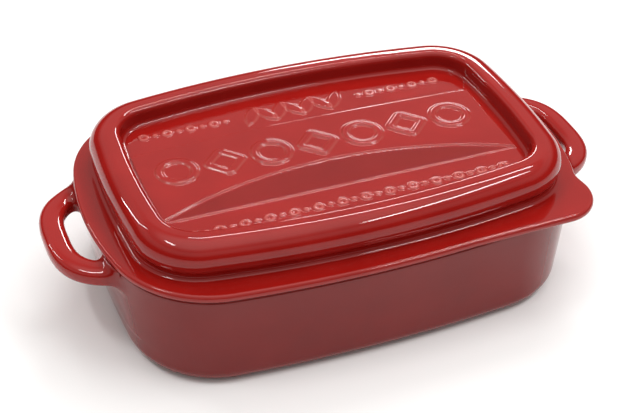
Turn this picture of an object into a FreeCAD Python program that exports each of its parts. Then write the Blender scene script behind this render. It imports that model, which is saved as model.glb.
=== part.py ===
"""Covered casserole dish: a deep oblong dish with two loop handles, and a lid that lifts off.

The frame is in millimetres. +Z is up, +X runs along the length through the handles, and the
origin is the centre of the base. Every outline is a rounded oblong with bowed sides, made of
four long arcs and four corner arcs, and an outline drawn inside another keeps its arc centres.
"""
import FreeCAD, Part
import math
import os

V = FreeCAD.Vector
UP = V(0, 0, 1)
SEAM_OVERLAP = 1.0        # how far two solids of one piece run into each other before they fuse
CUT_MARGIN = 5.0          # how far a cutting tool runs past the face it opens

# Overall
BRIM_LENGTH = 250.0       # over the lid's brim, without the tab
BRIM_WIDTH = 165.8
BRIM_CORNER = 52.0
BRIM_END_BOW = 23.0       # how far the end has fallen back at the corner of its box
BRIM_SIDE_BOW = 12.0
SEAT_HEIGHT = 53.0        # the dish's rim, which the lid's brim rests on

# Dish
BRIM_OVERHANG = 1.4       # the lid's brim past the dish's rim
END_TAPER = 10.2          # how far each end of the base stands in from the brim's end
SIDE_TAPER = 2.5
BASE_LENGTH = BRIM_LENGTH - 2 * END_TAPER
BASE_WIDTH = BRIM_WIDTH - 2 * SIDE_TAPER
BASE_CORNER = 45.0
BASE_END_BOW = 2.0
BASE_SIDE_BOW = 8.3
DISH_WALL = 6.4
DISH_FLOOR = 6.5
BASE_ROUND = 8.0
INSIDE_ROUND = 12.0
RIM_OUTER_ROUND = 2.2
RIM_INNER_BEVEL = 1.2

# Handles
HANDLE_STANDOFF = 20.0    # the outside of a handle past the brim's end
HANDLE_REACH = BRIM_LENGTH / 2 + HANDLE_STANDOFF
HANDLE_SPAN = 78.0        # over the two legs of a handle
HANDLE_BEND = 25.4
HANDLE_DROP = 7.5         # the bar's middle below the seat
HANDLE_HEIGHT = SEAT_HEIGHT - HANDLE_DROP
HANDLE_BAR_WIDTH = 11.8
HANDLE_BAR_HEIGHT = 9.2
ROOT_SWELL = 1.45         # a handle's section at the wall, over its section in the middle
ROOT_LENGTH = 22.0        # how far along the bar the swelling dies away
BEND_STEPS = 8

# Lid
BRIM_THICKNESS = 4.0
BRIM_EDGE_ROUND = 1.7
SKIRT_DEPTH = 5.0
SKIRT_CLEARANCE = 1.5     # between the lid's skirt and the inside of the dish
SKIRT_LIP = 3.4           # the skirt's inner face, in from the dome's outline
SHELF_AT_END = 12.0       # the flat brim left outside the dome
SHELF_AT_SIDE = 9.9
DOME_LENGTH = BRIM_LENGTH - 2 * SHELF_AT_END
DOME_WIDTH = BRIM_WIDTH - 2 * SHELF_AT_SIDE
DOME_CORNER = 34.0
DOME_END_BOW = 7.0
DOME_SIDE_BOW = 12.0
RIM_RADIUS = 9.7          # the rolled rim round the top
RIM_RISE = 19.5           # the rim's top above the brim
RIM_TOP = SEAT_HEIGHT + BRIM_THICKNESS + RIM_RISE
NECK_ROUND = 2.6          # the cove between the brim and the rolled rim
RIM_LAND = 12.6           # how far in the rim's top runs before it rolls down to the panel
RIM_INNER_ROUND = 3.0
PANEL_ROUND = 2.6         # the fillet at the foot of the rim's inner wall
PANEL_DEPTH = 9.5         # the panel below the rim's top
PANEL_HEIGHT = RIM_TOP - PANEL_DEPTH
LID_WALL = 5.2
NECK_WALL_INSET = 7.6     # the inner face of the lid's wall behind the neck
CORE_INSET = 29.0         # inside this outline the lid is a flat slab

# Lift tab on the front right corner of the brim
TAB_RADIUS = 20.0
TAB_FROM_END = 27.0       # the tab's centre, in from the brim's end and side
TAB_FROM_SIDE = 22.6
TAB_RUN = 53.0            # how long its straight front edge is
TAB_X = BRIM_LENGTH / 2 - TAB_FROM_END
TAB_Y = TAB_FROM_SIDE - BRIM_WIDTH / 2
TAB_RUN_X = TAB_X - TAB_RUN

# Raised pattern on the lid's panel
PATTERN_X = -2.3          # the middle of the pattern
PATTERN_MARGIN = 19.5     # the pattern's ends, in from the dome's ends
PATTERN_HALF = DOME_LENGTH / 2 - PATTERN_MARGIN
PLATEAU_HEIGHT = 1.1
FACET_LOW = 0.35          # the facet's height along its straight front edge
FACET_HIGH = 0.7
STEP_Y = 24.6             # the plateau's rear edge at its ends
STEP_BOW = 3.0
LENS_Y = -30.9            # the straight front edge of the sloping facet
LENS_BOW = 21.0
MOTIF_COUNT = 7
MOTIF_PITCH = 24.6
MOTIF_SIZE = 21.0
MOTIF_STROKE = 3.6
MOTIF_HEIGHT = 0.95
MOTIF_Y = 5.0
ROW_HEIGHT = 0.55
ROW_PITCH = 6.2
FRONT_ROW_Y = -43.0
REAR_ROW_Y = 39.3
SMALL_HOOP = 5.6          # each row is small hoops and dots by turns
SMALL_STROKE = 1.7
DOT_SIZE = 3.0
LEAF_COUNT = 7
LEAF_LENGTH = 17.0
LEAF_WIDTH = 6.4
LEAF_PITCH = 7.6
LEAF_HEIGHT = 0.8


def outline_arcs(length, width, corner, end_bow, side_bow):
    """The eight arcs of a rounded oblong, counter-clockwise: (x, y, radius, start, end)."""
    a = length / 2
    b = width / 2
    end_radius = (b * b + end_bow * end_bow) / (2 * end_bow)
    side_radius = (a * a + side_bow * side_bow) / (2 * side_bow)
    end_x = a - end_radius
    side_y = b - side_radius
    r1 = end_radius - corner
    r2 = side_radius - corner
    gap = math.hypot(end_x, side_y)
    along = (r1 * r1 - r2 * r2 + gap * gap) / (2 * gap)
    across = math.sqrt(r1 * r1 - along * along)
    ux = -end_x / gap
    uy = side_y / gap
    corner_x = end_x + along * ux - across * uy
    corner_y = along * uy + across * ux
    turn_end = math.atan2(corner_y, corner_x - end_x)
    turn_side = math.atan2(corner_y - side_y, corner_x)
    half = math.pi
    arcs = []
    arcs.append((end_x, 0.0, end_radius, -turn_end, turn_end))
    arcs.append((corner_x, corner_y, corner, turn_end, turn_side))
    arcs.append((0.0, side_y, side_radius, turn_side, half - turn_side))
    arcs.append((-corner_x, corner_y, corner, half - turn_side, half - turn_end))
    arcs.append((-end_x, 0.0, end_radius, half - turn_end, half + turn_end))
    arcs.append((-corner_x, -corner_y, corner, half + turn_end, half + turn_side))
    arcs.append((0.0, -side_y, side_radius, half + turn_side, 2 * half - turn_side))
    arcs.append((corner_x, -corner_y, corner, -turn_side, -turn_end))
    return arcs


BRIM = outline_arcs(BRIM_LENGTH, BRIM_WIDTH, BRIM_CORNER, BRIM_END_BOW, BRIM_SIDE_BOW)
BASE = outline_arcs(BASE_LENGTH, BASE_WIDTH, BASE_CORNER, BASE_END_BOW, BASE_SIDE_BOW)
DOME = outline_arcs(DOME_LENGTH, DOME_WIDTH, DOME_CORNER, DOME_END_BOW, DOME_SIDE_BOW)


def on_circle(x, y, radius, angle, z):
    return V(x + radius * math.cos(angle), y + radius * math.sin(angle), z)


def outline_wire(arcs, inset, z):
    """The outline, drawn inset by that much all round, as one closed wire at height z."""
    edges = []
    for x, y, radius, start, end in arcs:
        r = radius - inset
        middle = (start + end) / 2
        if end < start:
            middle = middle + math.pi
        arc = Part.Arc(on_circle(x, y, r, start, z), on_circle(x, y, r, middle, z), on_circle(x, y, r, end, z))
        edges.append(arc.toShape())
    return Part.Wire(edges)


def slab(arcs, inset, bottom, top):
    return Part.Face(outline_wire(arcs, inset, bottom)).extrude(V(0, 0, top - bottom))


def tapered(lower_arcs, lower_inset, bottom, upper_arcs, upper_inset, top):
    """A solid between two outlines at two heights."""
    lower = outline_wire(lower_arcs, lower_inset, bottom)
    upper = outline_wire(upper_arcs, upper_inset, top)
    return Part.makeLoft([lower, upper], True, True)


def ring(arcs, section):
    """A section of (inset, z) edges run round the outline: one turned wedge for each arc."""
    wedges = []
    for x, y, radius, start, end in arcs:
        edges = [edge(radius) for edge in section]
        face = Part.Face(Part.Wire(edges))
        face.rotate(V(0, 0, 0), UP, math.degrees(start))
        wedge = face.revolve(V(0, 0, 0), UP, math.degrees(end - start))
        wedge.translate(V(x, y, 0))
        wedges.append(wedge)
    return wedges[0].fuse(wedges[1:]).removeSplitter()


def line(inset0, z0, inset1, z1):
    return lambda radius: Part.makeLine(V(radius - inset0, 0, z0), V(radius - inset1, 0, z1))


def bend(inset, z, size, start, end):
    """A section arc about (inset, z). Angles are in degrees, 0 outward and 90 up."""
    a = math.radians(start)
    c = math.radians(end)
    m = (a + c) / 2

    def edge(radius):
        points = [V(radius - inset + size * math.cos(t), 0, z + size * math.sin(t)) for t in (a, m, c)]
        return Part.Arc(*points).toShape()

    return edge


def edges_at(shape, z):
    """The edges of a shape that lie at height z."""
    found = []
    for edge in shape.Edges:
        box = edge.BoundBox
        if abs(box.ZMin - z) < 0.01 and abs(box.ZMax - z) < 0.01:
            found.append(edge)
    return found


def make_dish_block():
    """The dish's outside, as a solid block up to the seat."""
    block = tapered(BASE, 0.0, 0.0, BRIM, BRIM_OVERHANG, SEAT_HEIGHT)
    block = block.makeFillet(BASE_ROUND, edges_at(block, 0.0))
    return block.makeFillet(RIM_OUTER_ROUND, edges_at(block, SEAT_HEIGHT))


def make_dish(block):
    mouth = BRIM_OVERHANG + DISH_WALL
    hollow = tapered(BASE, DISH_WALL, DISH_FLOOR, BRIM, mouth, SEAT_HEIGHT)
    hollow = hollow.makeFillet(INSIDE_ROUND, edges_at(hollow, DISH_FLOOR))
    bevel_foot = SEAT_HEIGHT - RIM_INNER_BEVEL
    bevel = tapered(BRIM, mouth, bevel_foot, BRIM, mouth - RIM_INNER_BEVEL, SEAT_HEIGHT)
    return block.cut([hollow, bevel])


def oval(centre, along, wide, high):
    """An oval wire about centre, square to the direction along, its height along +Z."""
    side = along.cross(UP).normalize()
    if wide >= high:
        curve = Part.Ellipse(centre + side * (wide / 2), centre + UP * (high / 2), centre)
    else:
        curve = Part.Ellipse(centre + UP * (high / 2), centre + side * (wide / 2), centre)
    return Part.Wire([curve.toShape()])


def handle_stations():
    """Places along the right handle's front half, from inside the wall to its middle.

    Each is (centre, heading, swell). The heading follows the bar, and the swell is how much
    larger the section is there than in the middle.
    """
    reach = HANDLE_REACH - HANDLE_BAR_WIDTH / 2
    half = HANDLE_SPAN / 2 - HANDLE_BAR_WIDTH / 2
    bend_x = reach - HANDLE_BEND
    bend_y = half - HANDLE_BEND
    z = HANDLE_HEIGHT
    stations = [(V(bend_x - HANDLE_BAR_WIDTH, -half, z), V(1, 0, 0), ROOT_SWELL)]
    for step in range(BEND_STEPS + 1):
        angle = math.pi / 2 * step / BEND_STEPS
        share = min(1.0, HANDLE_BEND * angle / ROOT_LENGTH)
        ease = (1 + math.cos(math.pi * share)) / 2
        swell = 1 + (ROOT_SWELL - 1) * ease
        x = bend_x + HANDLE_BEND * math.sin(angle)
        y = -bend_y - HANDLE_BEND * math.cos(angle)
        stations.append((V(x, y, z), V(math.cos(angle), math.sin(angle), 0), swell))
    return stations


def make_handle(block):
    """The right handle, cut to the dish's wall."""
    front = handle_stations()
    sections = []
    for centre, heading, swell in front:
        sections.append(oval(centre, heading, HANDLE_BAR_WIDTH * swell, HANDLE_BAR_HEIGHT * swell))
    for centre, heading, swell in reversed(front):
        back = V(centre.x, -centre.y, centre.z)
        turned = V(-heading.x, heading.y, 0)
        sections.append(oval(back, turned, HANDLE_BAR_WIDTH * swell, HANDLE_BAR_HEIGHT * swell))
    return Part.makeLoft(sections, True).cut(block)


def dome_section():
    """The edges of the lid's rolled rim, from the core out over the rim and in to the panel."""
    brim_top = SEAT_HEIGHT + BRIM_THICKNESS
    rim_z = RIM_TOP - RIM_RADIUS
    cove_z = brim_top + NECK_ROUND
    rise = rim_z - cove_z
    gap = RIM_RADIUS + NECK_ROUND
    run = math.sqrt(gap * gap - rise * rise)
    lean = math.degrees(math.atan2(rise, run))
    cove_inset = RIM_RADIUS - run
    wall_inset = RIM_LAND + RIM_INNER_ROUND
    wall_top = RIM_TOP - RIM_INNER_ROUND
    wall_foot = PANEL_HEIGHT + PANEL_ROUND
    panel_edge = wall_inset + PANEL_ROUND
    bottom = brim_top - SEAM_OVERLAP
    core = CORE_INSET + SEAM_OVERLAP
    return [
        line(core, bottom, cove_inset, bottom),
        line(cove_inset, bottom, cove_inset, brim_top),
        bend(cove_inset, cove_z, NECK_ROUND, 270, 180 - lean),
        bend(RIM_RADIUS, rim_z, RIM_RADIUS, -lean, 90),
        line(RIM_RADIUS, RIM_TOP, RIM_LAND, RIM_TOP),
        bend(RIM_LAND, wall_top, RIM_INNER_ROUND, 90, 180),
        line(wall_inset, wall_top, wall_inset, wall_foot),
        bend(panel_edge, wall_foot, PANEL_ROUND, 0, -90),
        line(panel_edge, PANEL_HEIGHT, core, PANEL_HEIGHT),
        line(core, PANEL_HEIGHT, core, bottom),
    ]


def hollow_section():
    """The edges of the hollow under the lid: up the skirt, over a half-round channel, to the core."""
    mouth = SEAT_HEIGHT - SKIRT_DEPTH - CUT_MARGIN
    brim_top = SEAT_HEIGHT + BRIM_THICKNESS
    ceiling = PANEL_HEIGHT - LID_WALL
    outer = NECK_WALL_INSET
    inner = RIM_LAND + RIM_INNER_ROUND
    core = CORE_INSET + SEAM_OVERLAP
    crown = (outer + inner) / 2
    return [
        line(core, mouth, SKIRT_LIP, mouth),
        line(SKIRT_LIP, mouth, SKIRT_LIP, SEAT_HEIGHT),
        line(SKIRT_LIP, SEAT_HEIGHT, outer, brim_top),
        line(outer, brim_top, outer, ceiling),
        bend(crown, ceiling, (inner - outer) / 2, 0, 180),
        line(inner, ceiling, core, ceiling),
        line(core, ceiling, core, mouth),
    ]


def leaf(x, y, length, width, z, height, turn):
    """A pointed leaf: two arcs that meet at both tips."""
    half = length / 2
    edges = [
        Part.Arc(V(-half, 0, 0), V(0, -width / 2, 0), V(half, 0, 0)).toShape(),
        Part.Arc(V(half, 0, 0), V(0, width / 2, 0), V(-half, 0, 0)).toShape(),
    ]
    shape = Part.Face(Part.Wire(edges)).extrude(UP * height)
    shape.rotate(V(0, 0, 0), UP, turn)
    shape.translate(V(x, y, z))
    return shape


def hoop(x, y, size, stroke, z, height):
    """A raised ring."""
    outer = Part.makeCylinder(size / 2, height, V(x, y, z))
    inner = Part.makeCylinder(size / 2 - stroke, height + 2 * SEAM_OVERLAP, V(x, y, z - SEAM_OVERLAP))
    return outer.cut(inner)


def lozenge(x, y, size, stroke, z, height):
    """A raised outline of a square stood on its corner, with round corners."""
    outer = rounded_square(size * 0.80, stroke, height)
    inner = rounded_square(size * 0.80 - 2 * stroke, stroke / 3, height + 2 * SEAM_OVERLAP)
    inner.translate(V(0, 0, -SEAM_OVERLAP))
    shape = outer.cut(inner)
    shape.rotate(V(0, 0, 0), UP, 45)
    shape.translate(V(x, y, z))
    return shape


def rounded_square(side, corner, height):
    block = Part.makeBox(side, side, height, V(-side / 2, -side / 2, 0))
    upright = [edge for edge in block.Edges if edge.BoundBox.ZLength > height / 2]
    return block.makeFillet(corner, upright)


def make_plateau():
    """The raised middle band of the panel, between its bowed rear step and the facet's arc."""
    left = PATTERN_X - PATTERN_HALF
    right = PATTERN_X + PATTERN_HALF
    low = PANEL_HEIGHT - SEAM_OVERLAP
    rear = Part.Arc(
        V(right, STEP_Y, low), V(PATTERN_X, STEP_Y + STEP_BOW, low), V(left, STEP_Y, low)
    ).toShape()
    front = Part.Arc(
        V(left, LENS_Y, low), V(PATTERN_X, LENS_Y + LENS_BOW, low), V(right, LENS_Y, low)
    ).toShape()
    sides = [
        Part.makeLine(V(left, STEP_Y, low), V(left, LENS_Y, low)),
        Part.makeLine(V(right, LENS_Y, low), V(right, STEP_Y, low)),
    ]
    face = Part.Face(Part.Wire([rear, sides[0], front, sides[1]]))
    return face.extrude(V(0, 0, SEAM_OVERLAP + PLATEAU_HEIGHT))


def make_facet():
    """The lens between the plateau and its straight front edge, which slopes down to the front."""
    left = PATTERN_X - PATTERN_HALF
    right = PATTERN_X + PATTERN_HALF
    low = PANEL_HEIGHT - SEAM_OVERLAP
    arc = Part.Arc(
        V(left, LENS_Y, low), V(PATTERN_X, LENS_Y + LENS_BOW, low), V(right, LENS_Y, low)
    ).toShape()
    chord = Part.makeLine(V(right, LENS_Y, low), V(left, LENS_Y, low))
    lens = Part.Face(Part.Wire([arc, chord])).extrude(V(0, 0, SEAM_OVERLAP + PLATEAU_HEIGHT))
    top_y = LENS_Y + LENS_BOW
    corners = [
        V(left, LENS_Y, low),
        V(left, LENS_Y, PANEL_HEIGHT + FACET_LOW),
        V(left, top_y, PANEL_HEIGHT + FACET_HIGH),
        V(left, top_y, low),
    ]
    wedge = Part.Face(Part.makePolygon(corners + corners[:1])).extrude(V(right - left, 0, 0))
    return lens.common(wedge)


def make_pattern():
    """Everything raised on the panel's plateau and on the two strips beside it."""
    shapes = []
    top = PANEL_HEIGHT + PLATEAU_HEIGHT
    first = PATTERN_X - MOTIF_PITCH * (MOTIF_COUNT - 1) / 2
    for index in range(MOTIF_COUNT):
        make = hoop if index % 2 == 0 else lozenge
        x = first + MOTIF_PITCH * index
        shapes.append(make(x, MOTIF_Y, MOTIF_SIZE, MOTIF_STROKE, top - 0.1, MOTIF_HEIGHT + 0.1))
    low = PANEL_HEIGHT - 0.1
    tall = ROW_HEIGHT + 0.1
    reach = PATTERN_HALF - 2 * ROW_PITCH
    count = int(2 * reach / ROW_PITCH) + 1
    garland = LEAF_PITCH * LEAF_COUNT / 2 + ROW_PITCH
    for index in range(count):
        x = PATTERN_X - ROW_PITCH * (count - 1) / 2 + ROW_PITCH * index
        rows = [FRONT_ROW_Y]
        if abs(x - PATTERN_X) > garland:
            rows.append(REAR_ROW_Y)
        for y in rows:
            if index % 2 == 0:
                shapes.append(hoop(x, y, SMALL_HOOP, SMALL_STROKE, low, tall))
            else:
                shapes.append(Part.makeCylinder(DOT_SIZE / 2, tall, V(x, y, low)))
    for index in range(LEAF_COUNT):
        x = PATTERN_X + LEAF_PITCH * (index - (LEAF_COUNT - 1) / 2)
        turn = 60.0 if index % 2 == 0 else 120.0
        shapes.append(leaf(x, REAR_ROW_Y, LEAF_LENGTH, LEAF_WIDTH, low, LEAF_HEIGHT + 0.1, turn))
    return shapes


def make_brim():
    """The lid's flat brim with its lift tab, its outer edge rounded top and bottom."""
    z = SEAT_HEIGHT
    plate = slab(BRIM, 0.0, z, z + BRIM_THICKNESS)
    lobe = Part.makeCylinder(TAB_RADIUS, BRIM_THICKNESS, V(TAB_X, TAB_Y, z))
    side_y, side_radius = BRIM[2][1:3]
    leave_y = -(side_y + math.sqrt(side_radius ** 2 - TAB_RUN_X ** 2))
    corners = [
        V(TAB_RUN_X, leave_y, z),
        V(TAB_X, TAB_Y - TAB_RADIUS, z),
        V(TAB_X, TAB_Y, z),
        V(TAB_RUN_X, TAB_Y, z),
    ]
    web = Part.Face(Part.makePolygon(corners + corners[:1])).extrude(V(0, 0, BRIM_THICKNESS))
    brim = plate.fuse([lobe, web]).removeSplitter()
    return brim.makeFillet(BRIM_EDGE_ROUND, edges_at(brim, z) + edges_at(brim, z + BRIM_THICKNESS))


def make_lid():
    mouth_inset = BRIM_OVERHANG + DISH_WALL + SKIRT_CLEARANCE
    skirt = slab(BRIM, mouth_inset, SEAT_HEIGHT - SKIRT_DEPTH, SEAT_HEIGHT + SEAM_OVERLAP)
    rim = ring(DOME, dome_section())
    core = slab(DOME, CORE_INSET, SEAT_HEIGHT + SEAM_OVERLAP, PANEL_HEIGHT)
    body = make_brim().fuse([skirt, rim, core])
    channel = ring(DOME, hollow_section())
    ceiling = PANEL_HEIGHT - LID_WALL
    hollow = slab(DOME, CORE_INSET, SEAT_HEIGHT - SKIRT_DEPTH - CUT_MARGIN, ceiling)
    body = body.cut([channel, hollow])
    return body.fuse([make_plateau(), make_facet()] + make_pattern())


def main():
    block = make_dish_block()
    dish = make_dish(block)
    right = make_handle(block)
    left = right.mirror(V(0, 0, 0), V(1, 0, 0))
    lid = make_lid()
    os.makedirs("parts", exist_ok=True)
    for name, shape in (("dish", dish), ("left_handle", left), ("right_handle", right), ("lid", lid)):
        print(name, shape.isValid(), len(shape.Solids), round(shape.Volume), shape.BoundBox)
        shape.exportStep("parts/" + name + ".step")


main()
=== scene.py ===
# %% [markdown]
# # A covered casserole dish in red glaze
# The real object is two pieces of fired stoneware: a deep oblong dish with a loop handle luted
# to each end, and a loose lid. This script loads the measured frame of the part, and builds the
# glazed surfaces around it. The pot's own sizes are in millimetres, because that is how a potter
# would read them, and the meshes are scaled to metres as they are made.

# %% Load the frame
import math

import bmesh
import bpy
import numpy as np
from mathutils import Matrix, Vector, kdtree


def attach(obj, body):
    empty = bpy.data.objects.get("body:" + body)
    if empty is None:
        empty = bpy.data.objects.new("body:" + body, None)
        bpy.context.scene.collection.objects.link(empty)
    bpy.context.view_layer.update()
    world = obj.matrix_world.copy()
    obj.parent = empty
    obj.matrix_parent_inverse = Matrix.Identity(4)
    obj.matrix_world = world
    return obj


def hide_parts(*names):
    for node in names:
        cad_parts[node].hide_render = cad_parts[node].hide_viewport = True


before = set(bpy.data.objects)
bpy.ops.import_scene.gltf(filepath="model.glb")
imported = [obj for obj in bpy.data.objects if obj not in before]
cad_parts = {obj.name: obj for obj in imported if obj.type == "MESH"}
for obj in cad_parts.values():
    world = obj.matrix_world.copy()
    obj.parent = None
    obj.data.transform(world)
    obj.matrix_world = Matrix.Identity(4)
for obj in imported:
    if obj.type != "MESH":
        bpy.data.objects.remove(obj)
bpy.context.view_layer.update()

# %% [markdown]
# ## The outlines
# Seen from above, every level of the pot is a rounded oblong with slightly bowed sides. A
# potter's template for that shape is eight arcs: two long ones for the ends, two for the sides
# and four for the corners. Drawing it with arcs has a great advantage over a bevelled box: to
# step inwards by the wall's thickness, each arc keeps its centre and only its radius changes,
# so the wall comes out exactly even all the way round.

# %% Arc templates
def template(length, width, corner, end_bow, side_bow):
    """Eight arcs, counter-clockwise from the right end: rows of x, y, radius, start, end."""
    a, b = length / 2, width / 2
    end_r = (b * b + end_bow * end_bow) / (2 * end_bow)
    side_r = (a * a + side_bow * side_bow) / (2 * side_bow)
    end_x, side_y = a - end_r, b - side_r
    r1, r2, gap = end_r - corner, side_r - corner, math.hypot(end_x, side_y)
    along = (r1 * r1 - r2 * r2 + gap * gap) / (2 * gap)
    across = math.sqrt(r1 * r1 - along * along)
    ux, uy = -end_x / gap, side_y / gap
    cx, cy = end_x + along * ux - across * uy, along * uy + across * ux
    # A corner's arc meets the end's arc at the angle te, and the side's arc at the angle ts.
    te, ts, pi = math.atan2(cy, cx - end_x), math.atan2(cy - side_y, cx), math.pi
    return np.array([
        (end_x, 0, end_r, -te, te), (cx, cy, corner, te, ts),
        (0, side_y, side_r, ts, pi - ts), (-cx, cy, corner, pi - ts, pi - te),
        (-end_x, 0, end_r, pi - te, pi + te), (-cx, -cy, corner, pi + te, pi + ts),
        (0, -side_y, side_r, pi + ts, 2 * pi - ts), (cx, -cy, corner, 2 * pi - ts, 2 * pi - te),
    ])


BRIM_LENGTH, BRIM_WIDTH = 250.0, 165.8
END_TAPER, SIDE_TAPER = 10.2, 2.5           # how far the base stands in from the brim
SHELF_AT_END, SHELF_AT_SIDE = 12.0, 9.9     # the flat brim left outside the lid's roll
BRIM = template(BRIM_LENGTH, BRIM_WIDTH, corner=52.0, end_bow=23.0, side_bow=12.0)
BASE = template(BRIM_LENGTH - 2 * END_TAPER, BRIM_WIDTH - 2 * SIDE_TAPER,
                corner=45.0, end_bow=2.0, side_bow=8.3)
DOME = template(BRIM_LENGTH - 2 * SHELF_AT_END, BRIM_WIDTH - 2 * SHELF_AT_SIDE,
                corner=34.0, end_bow=7.0, side_bow=12.0)


def stations(steps):
    """Where a loop's points sit: each one's arc, its share of that arc, and the points per arc."""
    lengths = BRIM[:, 2] * (BRIM[:, 4] - BRIM[:, 3])
    counts = np.maximum(2 * np.round(steps * lengths / lengths.sum() / 2), 2).astype(int)
    arc = np.repeat(np.arange(8), counts)
    share = np.concatenate([np.arange(n) / n for n in counts])
    return arc, share, counts


def loop(arcs, inset, places):
    """The template drawn inset by that much, as a closed loop of points."""
    arc, share, _ = places
    x, y, r, start, end = arcs[arc].T
    turn = start + (end - start) * share
    return np.stack([x + (r - inset) * np.cos(turn), y + (r - inset) * np.sin(turn)], axis=1)


def level(points, z):
    """Flat points lifted to one height."""
    return np.column_stack([points, np.full(len(points), float(z))])


DISH_LOOP = stations(1100)
LID_LOOP = stations(1500)
print("points in a loop of the dish", len(DISH_LOOP[0]), "and of the lid", len(LID_LOOP[0]))

# %% [markdown]
# ## From loops to a skin
# A pot's wall is a stack of loops, each a little higher or further in than the last. Joining
# each loop to the next with four-sided faces makes one continuous skin. It is the same idea as
# a loft or a lathe, but the loops need not be round. An even grid then fills the first and the
# last loop. A fan of long thin faces would seal them too, but it leaves faint creases in a
# glossy surface, and a grid doesn't.

# %% Skin helper
MM = 0.001      # metres in a millimetre


def corner_marks(places):
    """Which points of a loop are at the middle of the four corners, right rear one first."""
    starts = np.concatenate([[0], np.cumsum(places[2])])
    return [int(starts[k] + places[2][k] // 2) for k in (1, 3, 5, 7)]


def patch_grid(edge, places):
    """An even grid of points that fills a loop, and the loop's own numbers along its border.

    Each inner point is a blend of the four sides, so the grid's lines follow the outline near
    the border and straighten out towards the middle.
    """
    rear_right, rear_left, front_left, front_right = corner_marks(places)
    n = len(edge)
    front = np.arange(front_left, front_right + 1)
    rear = np.arange(rear_left, rear_right - 1, -1)
    right = np.arange(front_right, n + rear_right + 1) % n
    left = np.arange(front_left, rear_left - 1, -1)
    u = np.linspace(0, 1, len(front))[None, :, None]
    v = np.linspace(0, 1, len(left))[:, None, None]
    near, far = edge[front][None], edge[rear][None]
    east, west = edge[right][:, None], edge[left][:, None]
    grid = (1 - v) * near + v * far + (1 - u) * west + u * east
    grid = grid - (1 - v) * ((1 - u) * near[:, :1] + u * near[:, -1:])
    grid = grid - v * ((1 - u) * far[:, :1] + u * far[:, -1:])
    return grid, (front, rear, left, right)


def make_piece(name, points, quads):
    """An object with smooth four-sided faces, scaled to metres."""
    mesh = bpy.data.meshes.new(name)
    mesh.vertices.add(len(points))
    mesh.vertices.foreach_set("co", (points * MM).astype(np.float32).ravel())
    mesh.loops.add(quads.size)
    mesh.loops.foreach_set("vertex_index", quads.astype(np.int32).ravel())
    mesh.polygons.add(len(quads))
    mesh.polygons.foreach_set("loop_start", np.arange(0, quads.size, 4, dtype=np.int32))
    mesh.polygons.foreach_set("use_smooth", np.ones(len(quads), bool))
    mesh.update(calc_edges=True)
    piece = bpy.data.objects.new(name, mesh)
    bpy.context.collection.objects.link(piece)
    return piece


def skin(name, rows, first=None, last=None):
    """A smooth mesh through a stack of loops, with a grid over the first and last loop if given."""
    points = np.concatenate(rows)
    around, count = len(rows[0]), len(rows)
    step = np.arange(around)
    row = np.arange(count - 1)[:, None]
    a, b = row * around + step, row * around + (step + 1) % around
    quads = [np.stack([a, b, b + around, a + around], axis=2).reshape(-1, 4)]
    for start, patch in ((0, first), ((count - 1) * around, last)):
        if patch is None:
            continue
        grid, (front, rear, left, right) = patch
        inner = grid[1:-1, 1:-1]
        number = np.zeros(grid.shape[:2], int)
        number[1:-1, 1:-1] = len(points) + np.arange(inner[..., 0].size).reshape(inner.shape[:2])
        number[0], number[-1] = start + front, start + rear
        number[:, 0], number[:, -1] = start + left, start + right
        points = np.concatenate([points, inner.reshape(-1, 3)])
        tiles = [number[:-1, :-1], number[:-1, 1:], number[1:, 1:], number[1:, :-1]]
        quads.append(np.stack(tiles, axis=2).reshape(-1, 4))
    return make_piece(name, points, np.concatenate(quads))


def weld(piece, gap=0.02):
    """Joins points that lie in one place, as at the ends of a bar, and turns all faces outwards."""
    work = bmesh.new()
    work.from_mesh(piece.data)
    bmesh.ops.remove_doubles(work, verts=work.verts, dist=gap * MM)
    bmesh.ops.dissolve_degenerate(work, edges=work.edges, dist=gap * MM / 10)
    bmesh.ops.recalc_face_normals(work, faces=work.faces)
    work.to_mesh(piece.data)
    work.free()
    print(piece.name, len(piece.data.vertices), "points", len(piece.data.polygons), "faces")


def quarter(steps, start=0.0, end=90.0):
    """Angles in radians for a rounded edge."""
    return np.radians(np.linspace(start, end, steps))


# %% [markdown]
# ## The dish
# A deep stoneware dish is cast in a mould that it must be able to leave, so its ends lean
# outwards and no corner is sharp. The foot is a generous roll, the inside of the floor has a
# softer one for spooning, and the rim is rounded where the glaze wraps over it. The wall here
# is a blend between the base's template and the brim's, the way a cast form changes from its
# foot to its mouth.

# %% Dish walls
SEAT = 53.0         # the dish's rim, which carries the lid
OVERHANG = 1.4      # the lid's brim past the dish's rim
WALL = 6.4
FLOOR = 6.5


def outer_wall(z, inset=0.0):
    """The outside of the dish at a height: part base and part brim."""
    t = z / SEAT
    return loop(BASE, inset, DISH_LOOP) * (1 - t) + loop(BRIM, OVERHANG + inset, DISH_LOOP) * t


def inner_wall(z, inset=0.0):
    """The inside of the dish at a height."""
    t = (z - FLOOR) / (SEAT - FLOOR)
    foot = loop(BASE, WALL + inset, DISH_LOOP)
    mouth = loop(BRIM, OVERHANG + WALL + inset, DISH_LOOP)
    return foot * (1 - t) + mouth * t


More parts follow.
